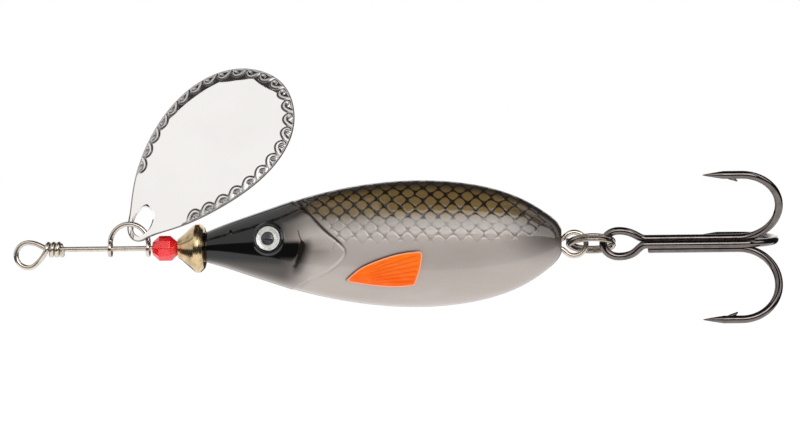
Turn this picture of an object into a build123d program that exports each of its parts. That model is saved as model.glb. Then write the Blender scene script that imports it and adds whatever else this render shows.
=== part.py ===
"""Inline spinner: a weighted fish body, bearing cone, bead and swinging blade on one wire shaft.

+X runs along the shaft from the line eye to the treble, +Z is up (the fish's back), and the
fish's left side faces -Y. The origin is on the shaft's axis, level with the line eye's centre.
Millimetres throughout.
"""
import math
import os

from build123d import *

os.makedirs("parts", exist_ok=True)

# ---- shaft wire ----
WIRE_R = 0.325
RUN_GAP = 0.05                    # radial clearance of every bore that runs on the wire
BORE_R = WIRE_R + RUN_GAP
LINE_EYE_R = 1.6                  # to the wire's centre
LINE_EYE_Z = -0.7
WRAP_TURNS = 3
WRAP_PITCH = 0.68
WRAP_R = 0.70
WRAP_X = 4.5                      # rear end of the wraps
LINE_EYE_END = 3.2                # the line eye leaves the straight wire between these two places
LINE_EYE_START = 2.9
REAR_EYE_X = 69.95
REAR_EYE_R = 1.5
REAR_EYE_SHUT = 140.0              # the round of the eye ends this far from its rear, degrees
TAG_SHIFT = 0.34                  # the doubled wire lies this far either side of the axis
TAG_X = 64.0                      # cut end of the doubled wire, inside the tail
RUN_X1 = REAR_EYE_X - 7.5         # rear end of the straight wire
REAR_LEAD = 2.1                   # the doubled wires lie parallel up to this far from the eye's round

# ---- clevis ----
CLEVIS_X = 13.05
CLEVIS_HALF_SPAN = 2.45
CLEVIS_CENTRE_Z = 0.71            # centre of the round arch, which is also the blade's pivot
CLEVIS_WIRE_R = 0.3
TAB_R = 1.05
TAB_T = 0.42

# ---- blade ----
BLADE_LENGTH = 27.9
BLADE_T = 0.4
BLADE_DISH_R = 38.0
BLADE_PEAK = 13.7                 # highest point of the dish, from the tip
BLADE_HOLE = 2.65                 # hole centre, from the tip
BLADE_HOLE_LONG = 3.8
BLADE_HOLE_WIDE = 3.1
BLADE_RISE = 45.4                 # long axis above the shaft, degrees
BLADE_TWIST = 30.0                # about the long axis, degrees
BLADE_HOLE_AT = (14.80, -0.30, 3.44)

# ---- bead and bearing cone ----
BEAD_X = 17.70
BEAD_HALF = 1.60
BEAD_R = 1.68
BEAD_FLAT = 0.70                  # half length of the parallel middle
BEAD_END_R = 0.85
BEAD_SIDES = 10
CONE_X = 19.35
CONE_LENGTH = 3.6
CONE_R = 3.12

# ---- fish body ----
BODY_X0 = 23.0
BODY_X1 = 68.35
FIN_RISE = 0.35
TAIL_BORE_R = 0.75
TAIL_MOUTH_R = 1.12
TAIL_MOUTH_LENGTH = 1.7
NOSE_BORE_R = 0.6
WEIGHT_X = (33.0, 57.0)
WEIGHT_R = 2.5
BUSH_R = 1.1
BUSH_LENGTH = 4.0
PIN_R = 0.6
PIN_REACH = 1.2
PINS = ((37.0, 4.2), (52.0, -5.6), (52.0, 5.9), (62.5, 3.4))    # x, z
FIT = 0.02                        # moulded pocket beyond the piece that it holds

# ---- eyes ----
EYE_X = 31.25
EYE_Y = 3.10                      # floor of the socket, from the middle of the body
EYE_Z = 1.1
EYE_WAY = (-0.165, 0.975, 0.12)   # way that the right eye faces
EYE_R = 1.55
EYE_DISC_T = 0.25
EYE_DOME_H = 0.45
PUPIL_R = 0.85
PUPIL_T = 0.06
SOCKET_R = 1.95
SOCKET_RISE = 0.22
SOCKET_ROOT = 1.2                 # the raised ring starts this deep in the body

# ---- split ring ----
RING_X = 72.05
RING_R = 2.9
RING_WIRE_R = 0.25
RING_PITCH = 0.53
RING_TURNS = 1.94
RING_LEAN = 19.0

# ---- treble ----
HOOK_WIRE_R = 0.5
HOOK_EYE_X = 75.25
HOOK_EYE_R = 1.62
SHANK_X0 = 79.0
BEND_X = 90.75
BEND_R = 4.87
SPEAR_LENGTH = 2.2
POINT_LENGTH = 2.6
POINT_TIP_R = 0.04
BARB_HALF = 0.16
SINGLE_GAP = 0.3                  # the single hook's shank starts this far behind the others
BRAZE_R = 0.62
BRAZE_Y = 0.1
BRAZE_X = (79.6, 89.7)
TREBLE_ROLL = 5.7                 # degrees
TREBLE_Z = -0.13                  # shank axis below the shaft's axis
SHANKS = {"away": (-0.60, 0.0), "upper": (0.25, 0.66), "lower": (0.25, -0.66)}


def along_x(radius, x0, x1, y=0.0, z=0.0):
    """Round bar parallel to the shaft."""
    bar = Plane(origin=(x0, y, z), z_dir=(1, 0, 0)) * Circle(radius)
    return extrude(bar, x1 - x0)


def tube_along(path, radius):
    """Round wire swept along a path."""
    start = Plane(origin=path @ 0, z_dir=path % 0)
    return sweep(start * Circle(radius), path=path)


def turned(profile):
    """Solid of revolution about the shaft's axis, from (x, radius) corners."""
    outline = make_face(Polyline(*[(x, 0, r) for x, r in profile], close=True))
    return revolve(outline, Axis.X)


def save(shape, node):
    export_step(shape, f"parts/{node}.step")
    print(f"{node:20s} volume {shape.volume:9.3f} mm3")


# ---------------------------------------------------------------- shaft wire
def shaft_wire():
    """Line eye, three wraps, straight shaft and rear eye, all one wire."""
    wrap_x0 = WRAP_X - WRAP_TURNS * WRAP_PITCH
    straight = along_x(WIRE_R, LINE_EYE_END, RUN_X1)

    top = LINE_EYE_Z + LINE_EYE_R
    front = Line((LINE_EYE_END, 0, 0), (LINE_EYE_START, 0, 0))
    rise = Spline((LINE_EYE_START, 0, 0), (1.5, 0, 0.52), (0, 0, top), tangents=[(-1, 0, 0), (-1, 0, 0)])
    ring = ThreePointArc((0, 0, top), (-LINE_EYE_R, 0, LINE_EYE_Z), (0, 0, LINE_EYE_Z - LINE_EYE_R))
    back = Spline(
        (0, 0, LINE_EYE_Z - LINE_EYE_R),
        (1.45, -0.12, LINE_EYE_Z - 0.72),
        (wrap_x0, -WRAP_R, 0),
        tangents=[(1, 0, 0), (0.35, 0, 1)],
    )
    eye = tube_along(Wire([front, rise, ring, back]), WIRE_R)

    wraps = Helix(pitch=WRAP_PITCH, height=WRAP_TURNS * WRAP_PITCH, radius=WRAP_R)
    wraps = wraps.moved(Location((wrap_x0, 0, 0), (0, 90, 0)))
    wraps = wraps.rotate(Axis.X, -90)
    coil = tube_along(wraps, WIRE_R - 0.002)

    shut = math.radians(REAR_EYE_SHUT)
    x, z = REAR_EYE_X + REAR_EYE_R * math.cos(shut), REAR_EYE_R * math.sin(shut)
    lean = (math.sin(shut), 0, -math.cos(shut))
    main = Wire([
        Spline((RUN_X1, 0, 0), (TAG_X + 0.8, 0, TAG_SHIFT), (x - REAR_LEAD, 0, TAG_SHIFT), (x, 0, z),
               tangents=[(1, 0, 0), lean]),
        ThreePointArc((x, 0, z), (REAR_EYE_X + REAR_EYE_R, 0, 0), (x, 0, -z)),
        Spline((x, 0, -z), (x - REAR_LEAD, 0, -TAG_SHIFT), (TAG_X, 0, -TAG_SHIFT),
               tangents=[(-lean[0], 0, lean[2]), (-1, 0, 0)]),
    ])
    return straight + eye + coil + tube_along(main, WIRE_R)


# ---------------------------------------------------------------- clevis
def clevis():
    """Round arch with a flat eyelet on each leg."""
    x0 = CLEVIS_X - CLEVIS_HALF_SPAN
    x1 = CLEVIS_X + CLEVIS_HALF_SPAN
    top = CLEVIS_CENTRE_Z + CLEVIS_HALF_SPAN
    arch = ThreePointArc((x0, 0, CLEVIS_CENTRE_Z), (CLEVIS_X, 0, top), (x1, 0, CLEVIS_CENTRE_Z))
    body = tube_along(Wire([arch]), CLEVIS_WIRE_R)
    for x in (x0, x1):
        body += along_x(TAB_R, x - TAB_T / 2, x + TAB_T / 2)
    return body - along_x(BORE_R, x0 - 1, x1 + 1)


# ---------------------------------------------------------------- blade
def blade_plane():
    """Local X along the blade, local Y across it, local Z out of its domed face."""
    rise = math.radians(BLADE_RISE)
    twist = math.radians(BLADE_TWIST)
    along = Vector(math.cos(rise), 0, math.sin(rise))
    flat_across = Vector(math.sin(rise), 0, -math.cos(rise))
    across = flat_across * math.cos(twist) + Vector(0, -1, 0) * math.sin(twist)
    return Plane(origin=BLADE_HOLE_AT, x_dir=along, z_dir=along.cross(across) * -1)


def blade():
    """Dished teardrop with an oval hole near its narrow end."""
    half = math.cos(math.radians(BLADE_TWIST))
    side = [(0.0, 0.0), (0.5, 1.15), (1.6, 1.8), (3.7, 3.15), (7.1, 5.2), (11.2, 6.8), (15.7, 7.75),
            (20.4, 7.6), (24.5, 5.95), (27.1, 3.0), (BLADE_LENGTH, 0.0)]
    near = [(x - BLADE_HOLE, y / half) for x, y in side]
    far = [(x, -y) for x, y in reversed(near[1:-1])]
    flat = make_face(Spline(*near, *far, periodic=True))
    hole = Ellipse(BLADE_HOLE_LONG / 2, BLADE_HOLE_WIDE / 2)
    peak = BLADE_PEAK - BLADE_HOLE
    sag_at_hole = BLADE_DISH_R - math.sqrt(BLADE_DISH_R**2 - peak**2)
    centre = Vector(peak, 0, sag_at_hole - BLADE_DISH_R + BLADE_T / 2)
    turn = Location(centre, (90, 0, 0))
    dish = Sphere(BLADE_DISH_R).moved(turn) - Sphere(BLADE_DISH_R - BLADE_T).moved(turn)
    slab = extrude(flat - hole, 12, both=True) & dish
    upper = [s for s in slab.solids() if s.center().Z > centre.Z]
    return blade_plane() * upper[0]


# ---------------------------------------------------------------- bead and cone
def bead():
    """Facetted bead: two tapered ends and a parallel middle."""
    stations = [(-BEAD_HALF, BEAD_END_R), (-BEAD_FLAT, BEAD_R), (BEAD_FLAT, BEAD_R), (BEAD_HALF, BEAD_END_R)]
    rings = [Plane(origin=(BEAD_X + x, 0, 0), z_dir=(1, 0, 0)) * RegularPolygon(r, BEAD_SIDES)
             for x, r in stations]
    return loft(rings, ruled=True) - along_x(BORE_R, BEAD_X - 2, BEAD_X + 2)


def bearing_cone():
    """Turned brass bearing: conical front, short cylindrical rim, tapered back."""
    profile = [
        (0.0, BORE_R), (0.0, 1.25), (0.35, 1.45), (2.0, 2.9), (2.3, CONE_R),
        (2.9, CONE_R), (3.4, 2.65), (CONE_LENGTH, 1.95), (CONE_LENGTH, BORE_R),
    ]
    return turned([(CONE_X + x, r) for x, r in profile])


# ---------------------------------------------------------------- fish body
# x along the shaft, height of the middle, half height, half thickness
BODY_STATIONS = [
    (BODY_X0, 0.10, 1.95, 1.90),
    (25.0, 0.20, 2.65, 2.40),
    (28.0, 0.22, 3.68, 2.95),
    (32.5, 0.22, 5.15, 3.60),
    (38.0, 0.24, 6.65, 4.05),
    (44.0, 0.25, 7.70, 4.30),
    (49.5, 0.25, 8.08, 4.30),
    (55.0, 0.26, 7.80, 4.00),
    (60.0, 0.28, 6.82, 3.40),
    (64.0, 0.32, 5.20, 2.65),
    (66.6, 0.38, 3.50, 2.00),
    (68.0, 0.42, 2.15, 1.55),
    (BODY_X1, 0.42, 1.45, 1.25),
]


def body_form(grow=0.0):
    """Whole fish body, or the same form a little larger."""
    sections = [
        Plane(origin=(x, 0, z), x_dir=(0, 1, 0), z_dir=(1, 0, 0)) * Ellipse(thick + grow, high + grow)
        for x, z, high, thick in BODY_STATIONS
    ]
    return loft(sections)


def fin_outline():
    """Pectoral fin, a fan that opens towards the tail."""
    return make_face(Wire([
        Spline((41.2, -4.2), (42.6, -3.0), (44.8, -1.93), (47.15, -1.17), (48.9, -0.83), (50.3, -0.72)),
        Spline((50.3, -0.72), (50.72, -0.86), (50.8, -1.25)),
        Spline((50.8, -1.25), (50.66, -2.28), (50.3, -3.62), (49.75, -5.0)),
        Spline((49.75, -5.0), (48.0, -5.18), (46.2, -5.15), (43.5, -4.85), (41.5, -4.5)),
        Line((41.5, -4.5), (41.2, -4.2)),
    ]))


def body_shells():
    """Two moulded halves with pockets for the weight and bushes, eye sockets and locating pins."""
    whole = body_form()
    fins = Plane.XZ * fin_outline()
    pad = extrude(fins, 8, both=True) & body_form(FIN_RISE)
    whole += pad
    for side in (-1, 1):
        seat = eye_plane(side)
        ring = extrude(seat * Circle(SOCKET_R), SOCKET_RISE) + extrude(seat * Circle(SOCKET_R), -SOCKET_ROOT)
        whole += ring
        whole -= extrude(seat * Circle(EYE_R + FIT), 1)
    whole -= along_x(NOSE_BORE_R, BODY_X0 - 1, BODY_X1 + 1)
    whole -= along_x(BUSH_R + FIT, BODY_X0 - 1, BODY_X0 + BUSH_LENGTH)
    whole -= along_x(BUSH_R + FIT, WEIGHT_X[1], WEIGHT_X[1] + BUSH_LENGTH)
    whole -= along_x(WEIGHT_R + FIT, *WEIGHT_X)
    whole -= along_x(TAIL_BORE_R, WEIGHT_X[1] + BUSH_LENGTH, BODY_X1 + 1)
    mouth = BODY_X1 - TAIL_MOUTH_LENGTH
    whole -= turned([(mouth, 0), (mouth, TAIL_BORE_R), (BODY_X1 + 0.01, TAIL_MOUTH_R), (BODY_X1 + 0.01, 0)])

    room = Box(100, 30, 40)
    left = whole & room.moved(Location((45, -15, 0)))
    right = whole & room.moved(Location((45, 15, 0)))
    for x, z in PINS:
        seat = Plane(origin=(x, 0, z), z_dir=(0, 1, 0))
        left += extrude(seat * Circle(PIN_R), PIN_REACH)
        right -= extrude(seat * Circle(PIN_R + FIT), PIN_REACH + FIT)
    return left, right


def weight():
    """Brass bar inside the body, bored clear of the shaft."""
    bar = along_x(WEIGHT_R, *WEIGHT_X)
    return bar - along_x(NOSE_BORE_R, WEIGHT_X[0] - 1, WEIGHT_X[1] + 1)


def bush(x0):
    """Bearing that the body turns on, running on the shaft."""
    return along_x(BUSH_R, x0, x0 + BUSH_LENGTH) - along_x(BORE_R, x0 - 1, x0 + BUSH_LENGTH + 1)


# ---------------------------------------------------------------- eyes
def eye_plane(side):
    """Seat of one eye, facing out; side is -1 for the fish's left and 1 for its right."""
    x, y, z = EYE_WAY
    return Plane(origin=(EYE_X, side * EYE_Y, EYE_Z), x_dir=(1, 0, 0), z_dir=(x, side * y, z))


def eye(side):
    """Foil disc, pupil and clear dome, from the socket's floor outwards."""
    seat = eye_plane(side)
    disc = extrude(seat * Circle(EYE_R), EYE_DISC_T)
    front = seat.offset(EYE_DISC_T)
    pupil = extrude(front * Circle(PUPIL_R), PUPIL_T)
    ball_r = (EYE_R**2 + EYE_DOME_H**2) / (2 * EYE_DOME_H)
    ball = Sphere(ball_r).moved(front.offset(EYE_DOME_H - ball_r).location)
    dome = (extrude(front * Circle(EYE_R), 2) & ball) - pupil
    return disc, pupil, dome


# ---------------------------------------------------------------- split ring
def split_ring():
    """Nearly two turns of spring wire, cut square at both ends."""
    coil = Helix(pitch=RING_PITCH, height=RING_PITCH * RING_TURNS, radius=RING_R)
    wire = tube_along(Wire([coil]), RING_WIRE_R)
    wire = wire.moved(Location((0, 0, -RING_PITCH * RING_TURNS / 2)))
    return wire.rotate(Axis.Z, 200).rotate(Axis.X, -RING_LEAN).moved(Location((RING_X, 0, 0.05)))


# ---------------------------------------------------------------- treble
def hook_plane(start, angle):
    """Plane of one hook: local X along the shank, local Y from the shank to the spear."""
    y, z = start
    outward = Vector(0, math.cos(angle), math.sin(angle))
    return Plane(origin=(BEND_X, y, z), x_dir=(1, 0, 0), z_dir=Vector(1, 0, 0).cross(outward))


def hook_line(plane, shank_x0):
    """Shank, round bend and spear, from the shank's front end at shank_x0."""
    reach = BEND_R * 2
    return [
        plane * Line((shank_x0 - BEND_X, 0), (0, 0)),
        plane * ThreePointArc((0, 0), (BEND_R, BEND_R), (0, reach)),
        plane * Line((0, reach), (-SPEAR_LENGTH, reach)),
    ]


def hook_end(plane):
    """Point and barb."""
    reach = BEND_R * 2
    tip = Plane(plane * Location((-SPEAR_LENGTH, reach, 0), (0, -90, 0)))
    point = loft([tip * Circle(HOOK_WIRE_R - 0.005), tip.offset(POINT_LENGTH) * Circle(POINT_TIP_R)])
    barb = Polyline((-2.2, reach - 0.35), (-0.6, reach - 1.0), (-0.45, reach - 0.9),
                    (-1.0, reach - 0.35), close=True)
    return point, extrude(plane * make_face(barb), BARB_HALF, both=True)


def eye_line(start, end):
    """Teardrop eye that joins two shanks, from the upper one round to the other."""
    mid = (start.Y + end.Y) / 2
    crown = HOOK_EYE_X + 0.35
    top = (crown, mid, HOOK_EYE_R + 0.14)
    bottom = (crown, mid, 0.1 - HOOK_EYE_R)
    return [
        Spline(start, (77.6, mid + 0.18, 1.25), top, tangents=[(-1, 0, 0), (-1, 0, 0)]),
        ThreePointArc(top, (HOOK_EYE_X - HOOK_EYE_R, mid, 0.12), bottom),
        Spline(bottom, (77.6, mid - 0.16, -0.95), end, tangents=[(1, 0, 0), (1, 0, 0)]),
    ]


def treble():
    """Double hook with the eye, and the single hook."""
    third = math.pi * 2 / 3
    upper = hook_plane(SHANKS["upper"], third)
    away = hook_plane(SHANKS["away"], 0)
    lower = hook_plane(SHANKS["lower"], -third)
    eye = eye_line(Vector(SHANK_X0, *SHANKS["upper"]), Vector(SHANK_X0, *SHANKS["away"]))
    to_upper = Wire([edge.reversed() for edge in reversed(hook_line(upper, SHANK_X0))])
    double = tube_along(Wire([*to_upper.edges(), *eye, *hook_line(away, SHANK_X0)]), HOOK_WIRE_R)
    for plane in (upper, away):
        for bit in hook_end(plane):
            double += bit
    single = tube_along(Wire(hook_line(lower, SHANK_X0 + SINGLE_GAP)), HOOK_WIRE_R)
    for bit in hook_end(lower):
        single += bit
    return double, single


def placed(shape):
    """Treble parts rolled and lowered to where they hang."""
    return shape.rotate(Axis.X, TREBLE_ROLL).moved(Location((0, 0, TREBLE_Z)))


left_shell, right_shell = body_shells()
double_hook, single_hook = treble()
braze_bar = along_x(BRAZE_R, *BRAZE_X, y=BRAZE_Y)
braze = braze_bar - double_hook - single_hook

pieces = {
    "shaft_wire": shaft_wire(),
    "clevis": clevis(),
    "blade": blade(),
    "bead": bead(),
    "bearing_cone": bearing_cone(),
    "body_left_shell": left_shell,
    "body_right_shell": right_shell,
    "body_weight": weight(),
    "nose_bush": bush(BODY_X0),
    "tail_bush": bush(WEIGHT_X[1]),
    "split_ring": split_ring(),
    "treble_double_hook": placed(double_hook),
    "treble_single_hook": placed(single_hook),
    "treble_braze": placed(braze),
}
for name, side in (("left", -1), ("right", 1)):
    for part, shape in zip(("disc", "pupil", "dome"), eye(side)):
        pieces[f"{name}_eye_{part}"] = shape

for node, shape in pieces.items():
    save(shape, node)
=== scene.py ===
"""Looks of the inline spinner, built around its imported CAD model.

Lengths in this script are millimetres in the CAD frame until a mesh is made: +X runs along the
shaft from the line eye to the treble, +Z is up and the fish's left side faces -Y.
"""
import math

import bpy
import numpy as np
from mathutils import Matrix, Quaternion, Vector


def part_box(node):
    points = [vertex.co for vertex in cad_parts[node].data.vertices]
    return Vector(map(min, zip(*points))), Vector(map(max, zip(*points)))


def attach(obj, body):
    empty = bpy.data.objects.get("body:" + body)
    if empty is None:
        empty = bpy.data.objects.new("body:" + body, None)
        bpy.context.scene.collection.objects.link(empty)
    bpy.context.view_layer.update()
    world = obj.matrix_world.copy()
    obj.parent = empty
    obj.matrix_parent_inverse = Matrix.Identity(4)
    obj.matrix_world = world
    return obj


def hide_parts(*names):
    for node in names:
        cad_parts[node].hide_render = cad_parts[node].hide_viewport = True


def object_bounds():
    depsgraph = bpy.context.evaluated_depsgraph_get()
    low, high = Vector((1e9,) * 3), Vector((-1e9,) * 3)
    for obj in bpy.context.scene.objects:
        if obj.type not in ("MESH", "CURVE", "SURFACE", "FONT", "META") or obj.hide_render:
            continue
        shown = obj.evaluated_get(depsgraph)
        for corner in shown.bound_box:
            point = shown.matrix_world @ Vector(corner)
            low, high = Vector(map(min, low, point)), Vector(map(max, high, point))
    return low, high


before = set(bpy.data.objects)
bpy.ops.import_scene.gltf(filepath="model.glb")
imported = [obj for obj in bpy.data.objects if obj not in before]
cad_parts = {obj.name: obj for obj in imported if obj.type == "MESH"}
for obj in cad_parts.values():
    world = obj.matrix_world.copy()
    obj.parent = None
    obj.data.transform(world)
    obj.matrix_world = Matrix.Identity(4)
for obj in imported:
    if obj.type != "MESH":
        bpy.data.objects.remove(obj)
cad_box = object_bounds()

MM = 0.001
FAR = 1e9
SEED = 7
X, Y, Z = np.eye(3)


# ---------------------------------------------------------------- lines
def unit(v):
    v = np.asarray(v, float)
    return v / np.linalg.norm(v, axis=-1, keepdims=True)


def spline(points, start=None, end=None, step=0.1):
    """Smooth line through the points, with its end directions if they are given."""
    p = np.array(points, float)
    gap = np.linalg.norm(np.diff(p, axis=0), axis=1)
    n = len(p)
    a, b = np.zeros((n, n)), np.zeros_like(p)
    for i in range(1, n - 1):
        a[i, i - 1:i + 2] = gap[i], 2 * (gap[i - 1] + gap[i]), gap[i - 1]
        b[i] = 3 * (gap[i - 1] / gap[i] * (p[i + 1] - p[i]) + gap[i] / gap[i - 1] * (p[i] - p[i - 1]))
    for row, other, way, h in ((0, 1, start, gap[0]), (n - 1, n - 2, end, gap[-1])):
        if way is None:
            a[row, row], a[row, other] = 2, 1
            b[row] = 3 * (p[max(row, other)] - p[min(row, other)]) / h
        else:
            a[row, row] = 1
            b[row] = unit(way)
    slope = np.linalg.solve(a, b)
    out = [p[:1]]
    for i in range(n - 1):
        t = np.linspace(0, 1, max(2, math.ceil(gap[i] / step)) + 1)[1:, None]
        out.append((2 * t**3 - 3 * t**2 + 1) * p[i] + (t**3 - 2 * t**2 + t) * gap[i] * slope[i]
                   + (3 * t**2 - 2 * t**3) * p[i + 1] + (t**3 - t**2) * gap[i] * slope[i + 1])
    return np.concatenate(out)


def closed_spline(points, step=0.05):
    """Smooth closed line through the points, which don't repeat the first one."""
    overlap = 4
    around = [*points[-overlap:], *points, *points[:overlap + 1]]
    whole = spline(around, step=step)
    first = np.linalg.norm(whole - np.array(points[0]), axis=1)
    ends = np.where(first < 1e-9)[0]
    return whole[ends[0]:ends[-1]]


def even(line, step, closed=False):
    """The same line with its points evenly spaced."""
    if closed:
        line = np.concatenate([line, line[:1]])
    along = np.concatenate([[0], np.cumsum(np.linalg.norm(np.diff(line, axis=0), axis=1))])
    count = max(2, round(along[-1] / step)) + 1
    at = np.linspace(0, along[-1], count)[:-1 if closed else None]
    return np.stack([np.interp(at, along, line[:, k]) for k in range(line.shape[1])], axis=1)


def arc(centre, radius, u, v, a0, a1, step=6.0):
    """Arc from angle a0 to a1 in degrees, in the plane of u and v."""
    count = max(2, math.ceil(abs(a1 - a0) / step)) + 1
    a = np.radians(np.linspace(a0, a1, count))[:, None]
    return np.asarray(centre, float) + radius * (np.cos(a) * u + np.sin(a) * v)


def joined(*lines):
    """Lines end to end, without doubled points."""
    whole = np.concatenate([np.asarray(line, float) for line in lines])
    keep = np.concatenate([[True], np.linalg.norm(np.diff(whole, axis=0), axis=1) > 1e-4])
    return whole[keep]


POINTS_AT_ONCE = 4000


def nearest(points, line, closed=False):
    """Distance of each 2-D point from a line, and how far along the line the nearest place is."""
    line = np.asarray(line, float)
    if closed:
        line = np.concatenate([line, line[:1]])
    a, d = line[:-1], np.diff(line, axis=0)
    length = np.linalg.norm(d, axis=1)
    along = np.concatenate([[0], np.cumsum(length)])[:-1]
    best = np.full(len(points), FAR)
    place = np.zeros(len(points))
    for i in range(0, len(points), POINTS_AT_ONCE):
        rel = points[i:i + POINTS_AT_ONCE, None] - a
        t = np.clip((rel * d).sum(-1) / length**2, 0, 1)
        gap = np.linalg.norm(rel - t[..., None] * d, axis=-1)
        k = gap.argmin(1)
        rows = np.arange(len(k))
        best[i:i + POINTS_AT_ONCE] = gap[rows, k]
        place[i:i + POINTS_AT_ONCE] = along[k] + t[rows, k] * length[k]
    return best, place


def inside(points, loop):
    """Which 2-D points are inside a closed line."""
    x, y = points[:, 0], points[:, 1]
    hit = np.zeros(len(points), bool)
    for (x0, y0), (x1, y1) in zip(loop, np.roll(loop, -1, axis=0)):
        if y0 != y1:
            hit ^= ((y0 > y) != (y1 > y)) & (x < (x1 - x0) * (y - y0) / (y1 - y0) + x0)
    return hit


def ease(value, low, high):
    """0 below low, 1 above high, smooth between; low may be the larger of the two."""
    t = np.clip((value - low) / (high - low), 0, 1)
    return t * t * (3 - 2 * t)


# ---------------------------------------------------------------- meshes
def quads(rows, cols, close_rows=False, close_cols=False, start=0):
    """Faces of a grid whose points run along its rows first."""
    r = np.arange(rows if close_rows else rows - 1)
    c = np.arange(cols if close_cols else cols - 1)
    r, c = (k.ravel() for k in np.meshgrid(r, c, indexing="ij"))
    r2, c2 = (r + 1) % rows, (c + 1) % cols
    return (np.stack([r * cols + c, r * cols + c2, r2 * cols + c2, r2 * cols + c], 1) + start).tolist()


def add(name, body, nodes, parts, layers=None, flat=False):
    """One piece from (points, faces) parts. It rides on a body and stands for CAD nodes."""
    points, faces, base = [], [], 0
    for p, f in parts:
        points.append(p)
        faces += [[i + base for i in face] for face in f]
        base += len(p)
    mesh = bpy.data.meshes.new(name)
    mesh.from_pydata((np.concatenate(points) * MM).tolist(), [], faces)
    mesh.validate()
    for key, values in (layers or {}).items():
        layer = mesh.attributes.new(key, "FLOAT", "POINT")
        layer.data.foreach_set("value", np.asarray(values, np.float32))
    mesh.polygons.foreach_set("use_smooth", [not flat] * len(mesh.polygons))
    piece = bpy.data.objects.new(name, mesh)
    bpy.context.scene.collection.objects.link(piece)
    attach(piece, body)
    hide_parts(*nodes)
    return piece


def carried(line):
    """Two directions across a line at each point, turned no more than the line turns."""
    way = unit(np.gradient(line, axis=0))
    side = np.cross(way[0], Y if abs(way[0][1]) < 0.9 else Z)
    sides = []
    for t in way:
        side = unit(side - side @ t * t)
        sides.append(side)
    sides = np.array(sides)
    return sides, np.cross(way, sides), way


# Rounded end of a wire: length of its lip and radius of its face, for a radius of 1
END_LIP = 0.16
END_FACE = 0.84


def tube(line, radius, sides, round_ends=True):
    """Closed round wire along a line. The radius may change along it."""
    radius = np.broadcast_to(np.asarray(radius, float), len(line)).copy()
    line = np.asarray(line, float)
    u, v, way = carried(line)
    if round_ends:
        for end, sign in ((0, 1), (-1, -1)):
            lip = line[end] + sign * way[end] * radius[end] * END_LIP
            where = 1 if end == 0 else len(line) - 1
            line = np.insert(line, where, lip, axis=0)
            radius = np.insert(radius, where, radius[end])
            u, v, way = (np.insert(k, where, k[end], axis=0) for k in (u, v, way))
            radius[end] *= END_FACE
    turn = np.linspace(0, 2 * math.pi, sides, endpoint=False)
    ring = np.cos(turn)[:, None] * u[:, None] + np.sin(turn)[:, None] * v[:, None]
    points = (line[:, None] + radius[:, None, None] * ring).reshape(-1, 3)
    faces = quads(len(line), sides, close_cols=True)
    last = (len(line) - 1) * sides
    faces.append(list(range(sides))[::-1])
    faces.append(list(range(last, last + sides)))
    return points, faces


def rounded(profile, cut, steps=4):
    """A profile with each corner cut back, by less than half a side, and rounded."""
    p = np.array(profile, float)
    most = 0.45
    out = []
    for i in range(len(p)):
        a, b = p[i - 1] - p[i], p[(i + 1) % len(p)] - p[i]
        la, lb = np.linalg.norm(a), np.linalg.norm(b)
        start, end = p[i] + a / la * min(cut, la * most), p[i] + b / lb * min(cut, lb * most)
        for t in np.linspace(0, 1, steps):
            out.append((1 - t)**2 * start + 2 * t * (1 - t) * p[i] + t * t * end)
    return np.array(out)


def turned(profile, sides, cut):
    """Ring turned about the shaft from a closed (x, radius) profile."""
    p = rounded(profile, cut)
    turn = np.linspace(0, 2 * math.pi, sides, endpoint=False)
    across = p[:, 1:]
    points = np.stack([np.repeat(p[:, :1], sides, 1), across * np.cos(turn), across * np.sin(turn)], axis=-1)
    return points.reshape(-1, 3), quads(len(p), sides, close_rows=True, close_cols=True)


def about(points, degrees, i, j):
    """Points turned from axis i towards axis j."""
    a = math.radians(degrees)
    p = np.array(points, float)
    u, v = p[:, i].copy(), p[:, j].copy()
    p[:, i], p[:, j] = u * math.cos(a) - v * math.sin(a), u * math.sin(a) + v * math.cos(a)
    return p


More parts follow.
